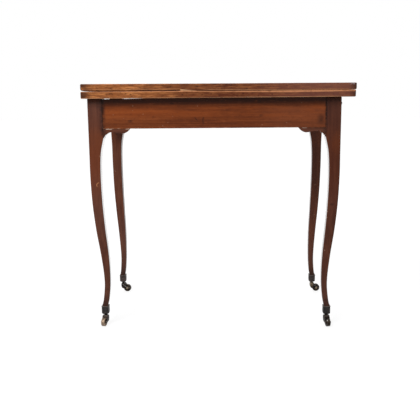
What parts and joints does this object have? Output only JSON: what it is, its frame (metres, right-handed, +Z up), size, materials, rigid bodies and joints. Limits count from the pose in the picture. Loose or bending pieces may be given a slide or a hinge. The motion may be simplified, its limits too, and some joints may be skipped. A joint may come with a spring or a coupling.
{
  "type": "games table",
  "caption": "Fold-over mahogany games table: a hinged top over a plain apron, square cabriole legs with shaped brackets, back legs that swing out as gates, and castors.",
  "frame": {"origin": "on the floor, under the middle of the closed table", "axes": "+Z up; the front of the table faces -Y; +X runs to the right as seen from the front"},
  "size_m": [0.782, 0.4446, 0.734],
  "materials": {
    "mahogany_top": "worn satin shellac polish on mahogany",
    "mahogany_frame": "worn satin shellac polish on mahogany",
    "secondary_wood": "plain planed softwood, unpolished and darkened",
    "baize": "woven wool playing cloth",
    "brass": "dulled lacquerless brass",
    "wheel_brass": "worn pale brass",
    "gunmetal": "blackened, rubbed at the edges",
    "iron": "dark aged iron"
  },
  "bodies": {
    "frame": {"baize_lower": "baize", "castor_cup_front_left": "gunmetal", "castor_cup_front_right": "gunmetal", "corner_block_left": "secondary_wood", "corner_block_right": "secondary_wood", "ear_front_left": "mahogany_frame", "ear_front_right": "mahogany_frame", "ear_left_back": "mahogany_frame", "ear_left_front": "mahogany_frame", "ear_right_back": "mahogany_frame", "ear_right_front": "mahogany_frame", "fixed_fly_rail": "secondary_wood", "front_rail": "mahogany_frame", "gate_pin_left": "iron", "gate_pin_right": "iron", "glue_block_left": "secondary_wood", "glue_block_right": "secondary_wood", "hinge_lower_left": "brass", "hinge_lower_right": "brass", "hinge_pin_left": "brass", "hinge_pin_right": "brass", "inner_back_rail": "secondary_wood", "leg_front_left": "mahogany_frame", "leg_front_right": "mahogany_frame", "lower_leaf": "mahogany_top", "side_rail_left": "mahogany_frame", "side_rail_right": "mahogany_frame", "top_screw_back_left": "iron", "top_screw_back_right": "iron", "top_screw_front_left": "iron", "top_screw_front_right": "iron"},
    "top": {"baize_upper": "baize", "hinge_upper_left": "brass", "hinge_upper_right": "brass", "upper_leaf": "mahogany_top"},
    "gate_left": {"castor_cup_back_left": "gunmetal", "ear_back_left": "mahogany_frame", "gate_rail_left": "secondary_wood", "leg_back_left": "mahogany_frame"},
    "gate_right": {"castor_cup_back_right": "gunmetal", "ear_back_right": "mahogany_frame", "gate_rail_right": "secondary_wood", "leg_back_right": "mahogany_frame"},
    "castor_front_left": {"castor_horn_front_left": "gunmetal", "castor_pivot_front_left": "iron", "castor_axle_front_left": "iron"},
    "wheel_front_left": {"castor_wheel_front_left": "wheel_brass"},
    "castor_front_right": {"castor_horn_front_right": "gunmetal", "castor_pivot_front_right": "iron", "castor_axle_front_right": "iron"},
    "wheel_front_right": {"castor_wheel_front_right": "wheel_brass"},
    "castor_back_left": {"castor_horn_back_left": "gunmetal", "castor_pivot_back_left": "iron", "castor_axle_back_left": "iron"},
    "wheel_back_left": {"castor_wheel_back_left": "wheel_brass"},
    "castor_back_right": {"castor_horn_back_right": "gunmetal", "castor_pivot_back_right": "iron", "castor_axle_back_right": "iron"},
    "wheel_back_right": {"castor_wheel_back_right": "wheel_brass"}
  },
  "joints": [
    {"name": "top_fold", "type": "hinge", "parent": "frame", "child": "top", "pos_m": [0, 0.21782, 0.71385], "axis": [-1, 0, 0], "range_deg": [0, 180]},
    {"name": "gate_swing_left", "type": "hinge", "parent": "frame", "child": "gate_left", "pos_m": [-0.107, 0.18068, 0.6], "axis": [0, 0, -1], "range_deg": [0, 90]},
    {"name": "gate_swing_right", "type": "hinge", "parent": "frame", "child": "gate_right", "pos_m": [0.083, 0.18068, 0.6], "axis": [0, 0, 1], "range_deg": [0, 90]},
    {"name": "swivel_front_left", "type": "hinge", "parent": "frame", "child": "castor_front_left", "pos_m": [-0.35288, -0.16696, 0.034], "axis": [0, 0, 1], "continuous": true},
    {"name": "roll_front_left", "type": "hinge", "parent": "castor_front_left", "child": "wheel_front_left", "pos_m": [-0.35637, -0.18207, 0.013], "axis": [0.9744, -0.225, 0], "continuous": true},
    {"name": "swivel_front_right", "type": "hinge", "parent": "frame", "child": "castor_front_right", "pos_m": [0.32888, -0.16696, 0.034], "axis": [0, 0, 1], "continuous": true},
    {"name": "roll_front_right", "type": "hinge", "parent": "castor_front_right", "child": "wheel_front_right", "pos_m": [0.33184, -0.18218, 0.013], "axis": [0.9816, 0.1908, 0], "continuous": true},
    {"name": "swivel_back_left", "type": "hinge", "parent": "gate_left", "child": "castor_back_left", "pos_m": [-0.35288, 0.17831, 0.034], "axis": [0, 0, 1], "continuous": true},
    {"name": "roll_back_left", "type": "hinge", "parent": "castor_back_left", "child": "wheel_back_left", "pos_m": [-0.33762, 0.17562, 0.013], "axis": [0.1736, 0.9848, 0], "continuous": true},
    {"name": "swivel_back_right", "type": "hinge", "parent": "gate_right", "child": "castor_back_right", "pos_m": [0.32888, 0.17831, 0.034], "axis": [0, 0, 1], "continuous": true},
    {"name": "roll_back_right", "type": "hinge", "parent": "castor_back_right", "child": "wheel_back_right", "pos_m": [0.34432, 0.17966, 0.013], "axis": [-0.0872, 0.9962, 0], "continuous": true}
  ]
}
